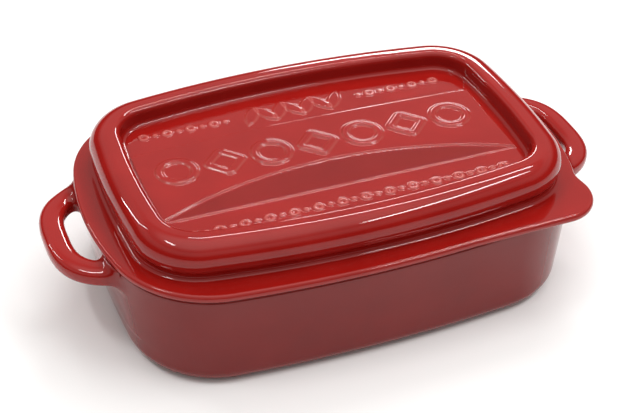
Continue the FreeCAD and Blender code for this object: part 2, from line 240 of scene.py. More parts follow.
def dish_rows():
    """The dish from the edge of its base, up the outside, over the rim and down to its floor."""
    foot_round, rim_round, lip_round, bowl_round = 8.0, 2.4, 1.6, 12.0
    rows = []
    for a in quarter(14):
        z = foot_round * (1 - math.cos(a))
        rows.append(level(outer_wall(z, foot_round * (1 - math.sin(a))), z))
    for z in np.linspace(foot_round, SEAT - rim_round, 54)[1:]:
        rows.append(level(outer_wall(z), z))
    for a in quarter(9)[1:]:
        z = SEAT - rim_round * (1 - math.sin(a))
        rows.append(level(outer_wall(z, rim_round * (1 - math.cos(a))), z))
    for a in quarter(7)[::-1]:
        z = SEAT - lip_round * (1 - math.sin(a))
        rows.append(level(inner_wall(z, -lip_round * (1 - math.cos(a))), z))
    for z in np.linspace(SEAT - lip_round, FLOOR + bowl_round, 16)[1:]:
        rows.append(level(inner_wall(z), z))
    for a in quarter(14)[1:]:
        z = FLOOR + bowl_round * (1 - math.sin(a))
        rows.append(level(inner_wall(z, bowl_round * (1 - math.cos(a))), z))
    return rows


dish_stack = dish_rows()
print("dish rows", len(dish_stack))

# %% [markdown]
# ## The loop handles
# Each handle is a strap of clay bent to a D and luted to the end wall, and the potter smooths
# the joint with a wet finger until the two run into each other. To get that soft joint, the
# wall and the bar are both treated as distances: near the root the two distances are blended,
# and the points of each surface are moved out to where the blend is zero. A boolean with a
# bevel would leave a hard, even seam that no hand-worked joint has.

# %% Handle shape
HANDLE_Z = 45.5
BAR_HALF_WIDTH, BAR_HALF_HEIGHT = 6.1, 4.6
SQUARENESS = 2.7                        # of the bar's section: two is an oval, more is squarer
REACH = 145.0 - BAR_HALF_WIDTH          # the bar's middle at its furthest
HALF_SPAN = 39.0 - BAR_HALF_WIDTH
LEG_FROM = 100.0                        # where the legs start, well inside the wall
LINE_SPACING = 0.5
SWELL_FROM, SWELL_RUN = 130.0, 16.0     # the bar starts to swell here, and takes this long
ROOT_SWELL = 0.2                        # how much thicker the bar is at the wall
ROOT_RISE = 1.0                         # how much higher its middle is there
ROOT_BLEND = 6.0                        # the width of the joint with the wall
ROOT_DEPTH = 3.6                        # how far the bar runs into the wall


def power(value, exponent):
    """A power that keeps the sign."""
    return np.sign(value) * np.abs(value) ** exponent


def bar_line(spacing):
    """The bar's middle line on the right side: half of a squarish oval, front to rear."""
    turn = np.linspace(-math.pi / 2, math.pi / 2, 4001)
    x = LEG_FROM + (REACH - LEG_FROM) * power(np.cos(turn), 2 / 3)
    y = HALF_SPAN * power(np.sin(turn), 2 / 3)
    length = np.concatenate([[0], np.cumsum(np.hypot(np.diff(x), np.diff(y)))])
    even = np.linspace(0, length[-1], int(length[-1] / spacing) + 1)
    return np.stack([np.interp(even, length, x), np.interp(even, length, y)], axis=1)


def swell(line):
    """How much thicker the bar is along its line: it grows towards the wall."""
    t = np.clip((SWELL_FROM - line[:, 0]) / SWELL_RUN, 0, 1)
    return 1 + ROOT_SWELL * t * t * (3 - 2 * t)


def bar_height(fat):
    """The height of the bar's middle where it is that much thicker."""
    return HANDLE_Z + ROOT_RISE * (fat - 1) / ROOT_SWELL


LINE = bar_line(LINE_SPACING)
LINE_SWELL = swell(LINE)
LINE_Z = bar_height(LINE_SWELL)
print("bar's line", len(LINE), "points, swelling up to", LINE_SWELL.max())

# %% [markdown]
# ## How far from the wall and the bar
# To a finger, the joint is one surface. These functions say how far any point is from the end
# wall and from the bar, and soft_join makes one distance of the two, with a fillet where they
# are nearly equal. The clay is wherever the joined distance is negative.

# %% Handle distances
END_FROM = 60.0     # every point of the right end is further out than this


def bar_distance(p):
    """Distance from points by the right handle to the bar's surface, negative inside it."""
    tree = kdtree.KDTree(len(LINE))
    for k, (x, y) in enumerate(LINE):
        tree.insert((x, y, 0), k)
    tree.balance()
    found = np.array([tree.find((x, y, 0))[1] for x, y in p[:, :2]])
    across = p[:, :2] - LINE[found]
    side = np.hypot(*across.T)
    rise = p[:, 2] - LINE_Z[found]
    wide = (side / BAR_HALF_WIDTH) ** SQUARENESS
    high = np.abs(rise / BAR_HALF_HEIGHT) ** SQUARENESS
    return ((wide + high) ** (1 / SQUARENESS) - LINE_SWELL[found]) * BAR_HALF_HEIGHT


def wall_face(p):
    """The X of the right end wall's outer face, level with each point."""
    base, brim = loop(BASE, 0, DISH_LOOP), loop(BRIM, OVERHANG, DISH_LOOP)
    base, brim = [q[q[:, 0] > END_FROM] for q in (base, brim)]
    base, brim = [q[np.argsort(q[:, 1])] for q in (base, brim)]
    t = p[:, 2] / SEAT
    x = np.interp(p[:, 1], base[:, 1], base[:, 0]) * (1 - t)
    return x + np.interp(p[:, 1], brim[:, 1], brim[:, 0]) * t


def wall_distance(p):
    """Distance from points to the right end wall, negative inside it."""
    return p[:, 0] - wall_face(p)


def soft_join(a, b, blend):
    """The smaller of two distances, with a fillet where they are within the blend of each other."""
    h = np.clip(0.5 + 0.5 * (b - a) / blend, 0, 1)
    return b * (1 - h) + a * h - blend * h * (1 - h)


print("wall behind the handle at x", wall_face(np.array([[0.0, 0.0, HANDLE_Z]])).round(2))

# %% [markdown]
# ## Growing the joint
# The bar is a tube of rings and the wall is a stack of loops, and neither knows of the other.
# Each point near the joint is moved along its own way out until the joined distance there is
# zero, which takes a few careful steps. Each surface then dips a hair where the other one leads,
# so the two never fight for the same place, and the seam is hidden under the glaze.

# %% Handle meshes
GROW_STEPS, GROW_SHARE, GROW_REACH = 14, 0.8, 6.5
SINK, SINK_RUN = 0.18, 3.0          # how far a surface dips, and over what lead of the other
RING_POINTS = 64
LINE_START = 111.0                  # the bar's mesh starts here, inside the wall
TOP_GAP = 0.4                       # the bar's top stays this far below the seat
RIM_GAP, RIM_FADE = 0.3, 2.7        # the joint dies away over this run, below the rim's gap
JOINT_HALF_WIDTH, JOINT_FOOT = 62, 16   # the part of the end wall that the joint can reach
WALL_SKIN, BURIED = 0.5, 1.0        # how deep the wall's outer points, and the bar's kept ones, lie


def grow(points, ways, sink_side, fade=1.0):
    """Moves points outwards until they lie on the blend of wall and bar.

    The points then dip where the other surface leads: sink_side is one for points of the wall
    and minus one for points of the bar. A fade below one lets the whole move die away.
    """
    moved = np.zeros(len(points))
    for _ in range(GROW_STEPS):
        p = points + ways * moved[:, None]
        gap = soft_join(wall_distance(p), bar_distance(p), ROOT_BLEND)
        moved = np.clip(moved - gap * GROW_SHARE, 0, GROW_REACH)
    p = points + ways * (moved * fade)[:, None]
    lead = (wall_distance(p) - bar_distance(p)) * sink_side
    sink = SINK * np.clip(lead / SINK_RUN, 0, 1)
    return p - ways * sink[:, None]


def bare_bar():
    """Points in rings round the bar before it meets the wall, and each point's way out."""
    line = bar_line(LINE_SPACING)
    line = line[line[:, 0] > LINE_START]
    heading = np.gradient(line, axis=0)
    heading /= np.hypot(*heading.T)[:, None]
    side = np.stack([heading[:, 1], -heading[:, 0]], axis=1)
    turns = np.linspace(0, 2 * math.pi, RING_POINTS, endpoint=False)
    start, ways = [], []
    for (x, y), (sx, sy), fat in zip(line, side, swell(line)):
        across = power(np.cos(turns), 2 / SQUARENESS) * BAR_HALF_WIDTH * fat
        rise = power(np.sin(turns), 2 / SQUARENESS) * BAR_HALF_HEIGHT * fat
        start.append(np.stack([x + sx * across, y + sy * across, bar_height(fat) + rise], axis=1))
        ways.append(np.stack([sx * np.cos(turns), sy * np.cos(turns), np.sin(turns)], axis=1))
    return np.concatenate(start), np.concatenate(ways)


def bar_rows():
    """Rings round the bar, run into the wall at both roots and closed at both ends."""
    start, ways = bare_bar()
    grown = grow(start, ways, -1)
    buried = wall_distance(start) < -BURIED
    grown[buried] = start[buried]
    grown[:, 2] = np.minimum(grown[:, 2], SEAT - TOP_GAP)
    grown[:, 0] = np.maximum(grown[:, 0], wall_face(grown) - ROOT_DEPTH)
    rings = grown.reshape(-1, RING_POINTS, 3)
    caps = [np.repeat(rings[k].mean(axis=0)[None], RING_POINTS, axis=0) for k in (0, -1)]
    return [caps[0], *rings, caps[1]]


def run_wall_into_handles(rows):
    """Pulls the end walls out to meet the bars, on both ends."""
    stack = np.array(rows)
    flat = stack.reshape(-1, 3)
    top = SEAT - RIM_GAP
    for end in (1, -1):
        p = flat * [end, 1, 1]
        near = (p[:, 0] > LEG_FROM) & (np.abs(p[:, 1]) < JOINT_HALF_WIDTH)
        near &= (p[:, 2] > JOINT_FOOT) & (p[:, 2] < top)
        near &= wall_distance(p) > -WALL_SKIN
        way = np.tile([1.0, 0.0, 0.0], (near.sum(), 1))
        fade = np.clip((top - p[near, 2]) / RIM_FADE, 0, 1)
        flat[near] = grow(p[near], way, 1, fade) * [end, 1, 1]
    return list(flat.reshape(stack.shape))


bar_stack = bar_rows()
dish_stack = run_wall_into_handles(dish_stack)
dish = skin("dish_body", dish_stack, *(patch_grid(dish_stack[k], DISH_LOOP) for k in (0, -1)))
weld(dish)
handles = {}
for side, name in ((1, "right_loop_handle"), (-1, "left_loop_handle")):
    handles[side] = skin(name, [row * [side, 1, 1] for row in bar_stack])
    weld(handles[side])

# %% [markdown]
# ## The lid's profile
# Cut through, the lid shows how it was pressed: a thin flat brim that sits on the dish's rim,
# a small cove above it, then a fat rolled rim that stands round a sunken panel. The roll
# overhangs the cove a little, which is what gives the dark line all round the lid. Writing the
# profile as a list of inset and height pairs lets each roll be a true arc.

# %% Lid profile
BRIM_T = 4.0
EDGE_R = 1.7
SKIRT_D, SKIRT_GAP, SKIRT_LIP = 5.0, 1.5, 3.4   # depth, clearance in the dish, inner face
ROLL_R, ROLL_TOP = 9.7, 76.5
COVE_R = 2.6
LAND = 12.6             # where the top of the roll ends and its shoulder begins
LAND_FLAT = 1.5
SHOULDER_R = 3.0
FILLET_R = 2.6
PANEL_Z = 67.0
LID_WALL = 5.2
CEILING = PANEL_Z - LID_WALL
brim_top = SEAT + BRIM_T
roll_z = ROLL_TOP - ROLL_R
cove_z = brim_top + COVE_R
cove_run = math.sqrt((ROLL_R + COVE_R) ** 2 - (roll_z - cove_z) ** 2)
cove_inset = ROLL_R - cove_run
cove_lean = math.degrees(math.atan2(roll_z - cove_z, cove_run))
panel_edge = LAND + SHOULDER_R + FILLET_R


def arc_steps(inset, z, size, start, end, steps):
    """Profile points on an arc. Angles run from 0, outward, to 90, upward."""
    a = np.radians(np.linspace(start, end, steps))
    return np.stack([inset - size * np.cos(a), z + size * np.sin(a)], axis=1)


def roll_profile():
    """From the cove's foot on the brim, over the roll, down to the panel's edge."""
    parts = [
        arc_steps(cove_inset, cove_z, COVE_R, 270, 180 - cove_lean, 10),
        arc_steps(ROLL_R, roll_z, ROLL_R, -cove_lean, 90, 40)[1:],
        np.array([[LAND - LAND_FLAT, ROLL_TOP]]),
        arc_steps(LAND, ROLL_TOP - SHOULDER_R, SHOULDER_R, 90, 180, 14),
    ]
    wall = np.linspace(ROLL_TOP - SHOULDER_R, PANEL_Z + FILLET_R, 7)[1:-1]
    parts.append(np.stack([np.full(len(wall), LAND + SHOULDER_R), wall], axis=1))
    parts.append(arc_steps(panel_edge, PANEL_Z + FILLET_R, FILLET_R, 0, -90, 12))
    return np.concatenate(parts)


profile = roll_profile()
print("roll profile", len(profile), "points, cove inset", round(cove_inset, 2))

# %% [markdown]
# ## The lift tab
# One corner of the brim runs out into a rounded ear, so that a cloth-covered thumb can lift the
# hot lid. It is the same sheet of clay as the brim, so it is made by changing where the brim's
# edge lies: the brim, a disc and the web between them are joined as distances, with a small
# fillet in the notch, and each point of the edge moves out to that joined outline.

# %% Brim edge with its tab
TAB_X, TAB_Y, TAB_R = 98.0, -60.3, 20.0
TAB_RUN = 45.0              # where the tab's straight front edge leaves the brim's side
NOTCH_R, NOTCH_RUN = 5.0, 15.0


def brim_distance(p):
    """Distance from points to the plain brim's outline, negative inside."""
    x, y = np.abs(p[:, 0]), np.abs(p[:, 1])
    end, corner, side = BRIM[0], BRIM[1], BRIM[2]
    d_end = np.hypot(x - end[0], y - end[1]) - end[2]
    d_side = np.hypot(x - side[0], y - side[1]) - side[2]
    d_corner = np.hypot(x - corner[0], y - corner[1]) - corner[2]
    turn = np.arctan2(y - corner[1], x - corner[0])
    return np.where(turn < corner[3], d_end, np.where(turn > corner[4], d_side, d_corner))


def tab_distance(p):
    """Distance to the tab: a disc, and a straight front edge that leaves the brim's side."""
    disc = np.hypot(p[:, 0] - TAB_X, p[:, 1] - TAB_Y) - TAB_R
    side = BRIM[2]
    leave_y = -(side[1] + math.sqrt(side[2] ** 2 - TAB_RUN ** 2))
    start, stop = np.array([TAB_RUN, leave_y]), np.array([TAB_X, TAB_Y - TAB_R])
    way = (stop - start) / np.hypot(*(stop - start))
    below = (p - start) @ np.array([way[1], -way[0]])
    web = np.maximum.reduce([below, TAB_RUN - p[:, 0], p[:, 0] - TAB_X, p[:, 1] - TAB_Y])
    return np.minimum(disc, web)


def edge_distance(p):
    """The joined outline. Only the notch on the tab's right side has a fillet."""
    right_of_tab = np.clip((p[:, 0] - TAB_X) / NOTCH_RUN, 0, 1)
    return soft_join(brim_distance(p), tab_distance(p), 0.01 + NOTCH_R * right_of_tab)


def brim_loop(inset):
    """The brim's edge with the tab, found along rays that start on the roll's outline."""
    start = loop(DOME, cove_inset, LID_LOOP)
    way = loop(BRIM, 0.0, LID_LOOP) - start
    way /= np.hypot(*way.T)[:, None]
    near, far = np.zeros(len(start)), np.full(len(start), 60.0)
    for _ in range(30):
        middle = (near + far) / 2
        inside = edge_distance(start + way * middle[:, None]) < -inset
        near, far = np.where(inside, middle, near), np.where(inside, far, middle)
    return start + way * near[:, None]


edge = brim_loop(0.0)
print("brim box", edge.min(axis=0).round(1), edge.max(axis=0).round(1))

# %% [markdown]
# ## The raised pattern
# The panel carries a pattern pressed into it by the mould: a raised middle band with an arched
# front edge, a lens-shaped facet in front of it, seven bold rings and lozenges, rows of small
# hoops and dots, and a garland of leaves. After two coats of glaze every edge is soft. So each
# motif is a distance too, and a smooth step turns that distance into height, wide enough to look
# like pooled glaze.

# %% Motif distances
PATTERN_X, PATTERN_HALF = -2.3, 93.5
STEP_Y, STEP_BOW = 24.6, 3.0        # the rear edge of the raised band
LENS_Y, LENS_BOW = -30.9, 21.0      # the facet, from its straight edge to its arch
LOZENGE_ROUND = 1.5


def bowed(x, y, bow):
    """The height at x of an arc that spans the pattern, from y at its ends to y + bow."""
    r = (PATTERN_HALF ** 2 + bow ** 2) / (2 * bow)
    return y + bow - r + np.sqrt(np.maximum(r * r - (x - PATTERN_X) ** 2, 1.0))


def raised(distance, height, soft):
    """Height of a shape from the distance to its edge, negative inside."""
    t = np.clip(0.5 - distance / (2 * soft), 0, 1)
    return height * t * t * (3 - 2 * t)


def hoop(x, y, size, stroke):
    """Distance to a ring with that outer diameter."""
    return np.abs(np.hypot(x, y) - (size - stroke) / 2) - stroke / 2


def lozenge(x, y, size, stroke):
    """Distance to the outline of a square that stands on a corner."""
    half = size * 0.40 - stroke / 2
    u, v = np.abs(x + y) / math.sqrt(2), np.abs(x - y) / math.sqrt(2)
    qx, qy = u - half + LOZENGE_ROUND, v - half + LOZENGE_ROUND
    corner = np.hypot(np.maximum(qx, 0), np.maximum(qy, 0))
    box = corner + np.minimum(np.maximum(qx, qy), 0) - LOZENGE_ROUND
    return np.abs(box) - stroke / 2


def leaf(x, y, length, width, turn):
    """Distance to a pointed leaf: the part that two discs share."""
    c, s = math.cos(turn), math.sin(turn)
    u, v = np.abs(x * c + y * s), np.abs(-x * s + y * c)
    r = (length ** 2 + width ** 2) / (4 * width)
    return np.hypot(u, v + r - width / 2) - r


# %% [markdown]
# ## The pattern put together
# Height and paleness of glaze come from the same distances, so they can't drift apart: a raised
# shape is also pale along its edge, partly where fired glaze pulls thin and partly as a painted
# highlight, and the facet is marked for painted shade. Each part of the pattern has its own short
# function that takes the panel so far and adds to it.

# %% Relief of the panel
BAND_H, BAND_SOFT, FACET_SOFT = 1.1, 0.6, 0.45
FACET_LOW, FACET_HIGH = 0.35, 0.70      # the facet's height at its straight edge and at its arch
MOTIFS, MOTIF_PITCH, MOTIF_SIZE, MOTIF_STROKE = 7, 24.6, 21.0, 3.6
MOTIF_H, MOTIF_SOFT, MOTIF_Y = 0.95, 0.75, 5.0
ROW_PITCH, ROW_H, ROW_SOFT, FRONT_Y, REAR_Y = 6.2, 0.55, 0.4, -43.0, 39.3
SMALL_HOOP, SMALL_STROKE, DOT_R = 5.6, 1.7, 1.5
LEAVES, LEAF_L, LEAF_W, LEAF_PITCH, LEAF_H, LEAF_SOFT = 7, 17.0, 6.4, 7.6, 0.8, 0.6
# How much paler each shape's edge is painted: partly thin glaze, partly a painted highlight.
BAND_THIN_SHEEN, MOTIF_THIN_SHEEN, ROW_THIN_SHEEN, LEAF_THIN_SHEEN = 0.30, 0.55, 0.75, 0.6


def rim_of(distance, reach=0.9):
    """One on the edge of a shape, and nothing further from it than reach."""
    return np.clip(1 - np.abs(distance) / reach, 0, 1)


def centred(k, count, pitch):
    """The place of the k-th of so many things, spaced evenly about the pattern's middle."""
    return pitch * (k - (count - 1) / 2)


def band_and_facet(x, y):
    """The raised band and the facet in front of it, and the distance to the facet."""
    edge_x = np.abs(x - PATTERN_X) - PATTERN_HALF
    arch = bowed(x, LENS_Y, LENS_BOW)
    band = np.maximum.reduce([y - bowed(x, STEP_Y, STEP_BOW), arch - y, edge_x])
    lens = np.maximum.reduce([y - arch, LENS_Y - y, edge_x])
    fall = np.clip((y - LENS_Y) / LENS_BOW, 0, 1)
    facet = (FACET_LOW + (FACET_HIGH - FACET_LOW) * fall) * raised(lens, 1.0, FACET_SOFT)
    height = np.maximum(raised(band, BAND_H, BAND_SOFT), facet)
    return height, BAND_THIN_SHEEN * np.maximum(rim_of(band), rim_of(lens)), lens


def add_motifs(x, y, height, thin_and_painted_light):
    """Rings and lozenges by turns, along the middle of the band."""
    for k in range(MOTIFS):
        u, v = x - PATTERN_X - centred(k, MOTIFS, MOTIF_PITCH), y - MOTIF_Y
        d = (hoop if k % 2 == 0 else lozenge)(u, v, MOTIF_SIZE, MOTIF_STROKE)
        height = height + raised(d, MOTIF_H, MOTIF_SOFT)
        thin_and_painted_light = np.maximum(thin_and_painted_light, MOTIF_THIN_SHEEN * rim_of(d))
    return height, thin_and_painted_light


def add_rows(x, y, height, thin_and_painted_light):
    """Small hoops and dots by turns, in a row at the front and in two half rows at the rear."""
    count = int(2 * (PATTERN_HALF - 2 * ROW_PITCH) / ROW_PITCH) + 1
    garland = LEAF_PITCH * LEAVES / 2 + ROW_PITCH
    for k in range(count):
        place = centred(k, count, ROW_PITCH)
        for row_y in (FRONT_Y, REAR_Y):
            if row_y == REAR_Y and abs(place) <= garland:
                continue
            u, v = x - PATTERN_X - place, y - row_y
            d = hoop(u, v, SMALL_HOOP, SMALL_STROKE) if k % 2 == 0 else np.hypot(u, v) - DOT_R
            height = height + raised(d, ROW_H, ROW_SOFT)
            thin_and_painted_light = np.maximum(thin_and_painted_light, raised(d, ROW_THIN_SHEEN, 0.5))
    return height, thin_and_painted_light


def add_leaves(x, y, height, thin_and_painted_light):
    """A garland of leaves that lean left and right by turns."""
    for k in range(LEAVES):
        turn = math.radians(60 if k % 2 == 0 else 120)
        u, v = x - PATTERN_X - centred(k, LEAVES, LEAF_PITCH), y - REAR_Y
        d = leaf(u, v, LEAF_L, LEAF_W, turn)
        height = np.maximum(height, raised(d, LEAF_H, LEAF_SOFT))
        thin_and_painted_light = np.maximum(thin_and_painted_light, LEAF_THIN_SHEEN * rim_of(d))
    return height, thin_and_painted_light


def panel_relief(x, y):
    """Height of the raised pattern, and how its glaze is painted: one is pale, from thin glaze and a
    painted highlight, and minus one is painted shade.
    """
    height, thin_and_painted_light, lens = band_and_facet(x, y)
    for add_part in (add_motifs, add_rows, add_leaves):
        height, thin_and_painted_light = add_part(x, y, height, thin_and_painted_light)
    # The facet in front of the band is marked below zero for its painted shade.
    return height, thin_and_painted_light - raised(lens + 1, 1.0, 1.0)


# %% [markdown]
# ## The lid in one skin
# All the rows go into one stack: up inside the hollow, round the locating skirt, out under the
# brim, round its edge, across its top, over the roll and down onto the panel. One skin means
# that no two surfaces have to meet, so the highlights run on without a break, as glaze does.

# %% Lid mesh
HOLLOW_INSET, HOLLOW_CROWN = 7.6, 4.0      # the hollow's wall, and the round channel above it
SKIRT_TIP, SKIRT_ROOT = 1.5, 1.0            # the skirt's rounded tip, and the bevel at its root


def lid_rows():
    """The lid from the edge of its ceiling, out and round the brim, and over to the panel."""
    def dome(inset, z):
        return level(loop(DOME, inset, LID_LOOP), z)

    rows = []
    for a in quarter(17, 180, 0):
        inset = HOLLOW_INSET + HOLLOW_CROWN * (1 - math.cos(a))
        rows.append(dome(inset, CEILING + HOLLOW_CROWN * math.sin(a)))
    for z in np.linspace(CEILING, brim_top, 4)[1:]:
        rows.append(dome(HOLLOW_INSET, z))
    rows.append(dome(SKIRT_LIP, SEAT))
    lip = loop(DOME, SKIRT_LIP, LID_LOOP)
    skirt = loop(BRIM, OVERHANG + WALL + SKIRT_GAP, LID_LOOP)
    for a in quarter(7, 0, 180):
        t = (1 - math.cos(a)) / 2
        z = SEAT - SKIRT_D + SKIRT_TIP * (1 - math.sin(a))
        rows.append(level(lip * (1 - t) + skirt * t, z))
    rows.append(level(skirt, SEAT - SKIRT_ROOT))
    rows.append(level(loop(BRIM, OVERHANG + WALL + SKIRT_GAP - SKIRT_ROOT, LID_LOOP), SEAT))
    under = brim_loop(EDGE_R)
    rows.append(level(under, SEAT))
    for a in quarter(15, -90, 90)[1:-1]:
        z = SEAT + BRIM_T / 2 + math.sin(a) * BRIM_T / 2
        rows.append(level(brim_loop(EDGE_R * (1 - math.cos(a))), z))
    rows.append(level(under, brim_top))
    foot = loop(DOME, cove_inset, LID_LOOP)
    for t in np.linspace(0, 1, 13)[1:-1]:
        rows.append(level(under * (1 - t) + foot * t, brim_top))
    rows += [dome(inset, z) for inset, z in profile]
    return rows


lid_stack = lid_rows()
panel, border = patch_grid(lid_stack[-1], LID_LOOP)
print("panel grid", panel.shape[:2])
panel[..., 2] += panel_relief(panel[..., 0], panel[..., 1])[0]
lid_stack[-1][:, 2] += panel_relief(lid_stack[-1][:, 0], lid_stack[-1][:, 1])[0]
lid = skin("lid_casting", lid_stack, patch_grid(lid_stack[0], LID_LOOP), (panel, border))
weld(lid)

# %% [markdown]
# ## Where the glaze is thin
# The finish needs to know about the pattern, and a point attribute carries that from the shape
# to the material. A painted mask would do the same, but it would have to be painted again each
# time that the pattern changed.

# %% Thin glaze, painted highlights and painted shade
RELIEF_ROOM = 2.4       # more than the pattern's height, and less than the panel's wall
places = np.empty(len(lid.data.vertices) * 3, np.float32)
lid.data.vertices.foreach_get("co", places)
places = places.reshape(-1, 3) / MM
# Paler edges are thin glaze with a painted highlight, and the facet's mark is painted shade.
thin_and_painted_light = panel_relief(places[:, 0], places[:, 1])[1]
inside = loop(DOME, panel_edge, LID_LOOP)
on_panel = (places[:, 2] > PANEL_Z - 0.1) & (places[:, 2] < PANEL_Z + RELIEF_ROOM)
on_panel &= (np.abs(places[:, 0]) < inside[:, 0].max()) & (np.abs(places[:, 1]) < inside[:, 1].max())
marks = lid.data.attributes.new("thin_glaze_and_painted_light", "FLOAT", "POINT")
marks.data.foreach_set("value", np.where(on_panel, thin_and_painted_light, 0).astype(np.float32))
print("points with thin glaze", int((on_panel & (thin_and_painted_light > 0.3)).sum()))

# %% [markdown]
# ## Red glaze
# The colour is an iron-red glaze over pale clay. It is glossy, so most of what the eye reads is
# reflection; the glaze itself is deep and slightly uneven. Over raised edges the colour is lifted
# towards pink, partly where the glaze runs thin and the pale clay shows through and partly as a
# painted highlight. The sloping facet and the dish's walls are darker as painted shade. Noise at
# two sizes gives the unevenness, and the mesh's own pointiness finds the paler edges.

# %% Node helpers
def add(tree, kind, inputs=None, **settings):
    """Adds a node. Each of its inputs gets a value, or a link if it is given another's output."""
    made = tree.nodes.new(kind)
    for key, value in settings.items():
        setattr(made, key, value)
    for key, value in (inputs or {}).items():
        if isinstance(value, bpy.types.NodeSocket):
            tree.links.new(value, made.inputs[key])
        else:
            made.inputs[key].default_value = value
    return made


def remap(tree, source, low, high, to_low=0.0, to_high=1.0):
    """The source stretched from one range to another, and held at its ends."""
    ends = {"From Min": low, "From Max": high, "To Min": to_low, "To Max": to_high}
    return add(tree, "ShaderNodeMapRange", {"Value": source, **ends}).outputs["Result"]


def noise(tree, place, scale, detail):
    """Smooth noise over the piece's own space."""
    values = {"Vector": place, "Scale": scale, "Detail": detail, "Roughness": 0.5}
    return add(tree, "ShaderNodeTexNoise", values).outputs["Fac"]


# %% Glaze colour
DEEP_RED, BRIGHT_RED = (0.290, 0.0070, 0.0050, 1), (0.335, 0.0095, 0.0070, 1)
# The pale red of raised edges: thin glaze, with a painted highlight.
THIN_GLAZE_SHEEN_RED = (0.50, 0.095, 0.080, 1)
FACET_PAINTED_SHADE = 0.74                       # the tone of the painted shade on the sloping facet
# Between these two the painted shade of the dish's walls fades out, so the handles keep their full
# colour.
WALL_END, HANDLE_START = 0.118, 0.130   # in metres out from the middle
POINTED, SHARP = 0.505, 0.56        # the mesh's pointiness where the paler edge, thin glaze with a painted highlight, starts and ends


def glaze_colour(tree, place, outward, painted_wall_shade):
    """The red of the glaze: slightly uneven, paler on raised edges where it is thin and painted with a
    highlight, and darker where shade is painted on the facet and the walls.
    """
    tone = add(tree, "ShaderNodeValToRGB", {"Fac": noise(tree, place, 38.0, 3.0)})
    for stop, position, colour in zip(tone.color_ramp.elements, (0.3, 0.72), (DEEP_RED, BRIGHT_RED)):
        stop.position, stop.color = position, colour
    geometry = add(tree, "ShaderNodeNewGeometry")
    marked = add(tree, "ShaderNodeAttribute", attribute_name="thin_glaze_and_painted_light").outputs["Fac"]
    # Sharp edges of the mesh are painted paler: thin glaze with a painted highlight.
    edges = remap(tree, geometry.outputs["Pointiness"], POINTED, SHARP, 0.0, 0.35)
    either = add(tree, "ShaderNodeMath", {0: edges, 1: marked}, operation="MAXIMUM")
    thin_and_sheen_colour = add(tree, "ShaderNodeMix", {"Factor": either.outputs["Value"], "A": tone.outputs["Color"],
                                       "B": THIN_GLAZE_SHEEN_RED}, data_type="RGBA")
    # Painted shade: the body's walls are darkened, out to the handles.
    painted_wall_dimming = remap(tree, outward, WALL_END, HANDLE_START, painted_wall_shade, 1.0)
    # Painted shade darkens the sloping facet, where the mark is below zero.
    painted_facet_shade = remap(tree, marked, -1.0, 0.0, FACET_PAINTED_SHADE, 1.0)
    both = add(tree, "ShaderNodeMath", {0: painted_wall_dimming, 1: painted_facet_shade}, operation="MULTIPLY")
    return add(tree, "ShaderNodeVectorMath", {0: thin_and_sheen_colour.outputs["Result"], "Scale": both.outputs["Value"]},
               operation="SCALE").outputs["Vector"]


# %% Glaze material
BARE_CLAY = (0.62, 0.52, 0.42, 1)
BARE_FADE = 0.0004                  # in metres, between bare clay and glaze
SMOOTHEST, ROUGHEST = 0.015, 0.05


def glaze(name, bare_below, painted_wall_shade):
    """A glossy red glaze. Below the height bare_below, in metres, the clay is left bare.

    The colour of the body is darkened by a painted shade, given as a tone, and out on the handles it is
    multiplied by one.
    """
    material = bpy.data.materials.new(name)
    material.use_nodes = True
    tree = material.node_tree
    shader = tree.nodes["Principled BSDF"]
    place = add(tree, "ShaderNodeTexCoord").outputs["Object"]
    split = add(tree, "ShaderNodeSeparateXYZ", {"Vector": place})
    outward = add(tree, "ShaderNodeMath", {0: split.outputs["X"]}, operation="ABSOLUTE")
    red = glaze_colour(tree, place, outward.outputs["Value"], painted_wall_shade)
    bare = remap(tree, split.outputs["Z"], bare_below + BARE_FADE, bare_below)
    clay = add(tree, "ShaderNodeMix", {"Factor": bare, "A": red, "B": BARE_CLAY}, data_type="RGBA")
    tree.links.new(clay.outputs["Result"], shader.inputs["Base Color"])
    rough = remap(tree, noise(tree, place, 160.0, 2.0), 0.0, 1.0, SMOOTHEST, ROUGHEST)
    dull = add(tree, "ShaderNodeMath", {0: rough, 1: bare}, operation="MAXIMUM")
    tree.links.new(dull.outputs["Value"], shader.inputs["Roughness"])
    bump = add(tree, "ShaderNodeBump", {"Strength": 0.10, "Distance": 0.001,
                                        "Height": noise(tree, place, 55.0, 1.0)})
    tree.links.new(bump.outputs["Normal"], shader.inputs["Normal"])
    shader.inputs["IOR"].default_value = 1.44
    return material


# The dish's walls get a strong painted shade, and the lid's middle gets only a faint one.
dish_glaze = glaze("red_glaze_dish", bare_below=0.0002, painted_wall_shade=0.62)
lid_glaze = glaze("red_glaze_lid", bare_below=-1.0, painted_wall_shade=0.96)
for piece in (dish, handles[1], handles[-1]):
    piece.data.materials.append(dish_glaze)
lid.data.materials.append(lid_glaze)
print("glazes", dish_glaze.name, lid_glaze.name)

# %% [markdown]
# ## Fixing the pieces to the frame
# Each visible piece rides on a body of the frame and stands for a solid of it. The dish and its
# handles are one body, and the lid is the other, so the lid can lift off.

# %% Ride on the frame
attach(dish, "dish")
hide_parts("dish")
for side, node_name in ((1, "right_handle"), (-1, "left_handle")):
    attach(handles[side], "dish")
    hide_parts(node_name)
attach(lid, "lid")
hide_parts("lid")
print("pieces", [piece.name for piece in (dish, handles[1], handles[-1], lid)])

# %% [markdown]
# ## The table
# Glaze shows its surroundings, so the room is as much a part of the picture as the colour. A
# pale table gives the upright walls their milky tone. It has no gloss of its own, because a
# shiny table would draw a second dish under the first.

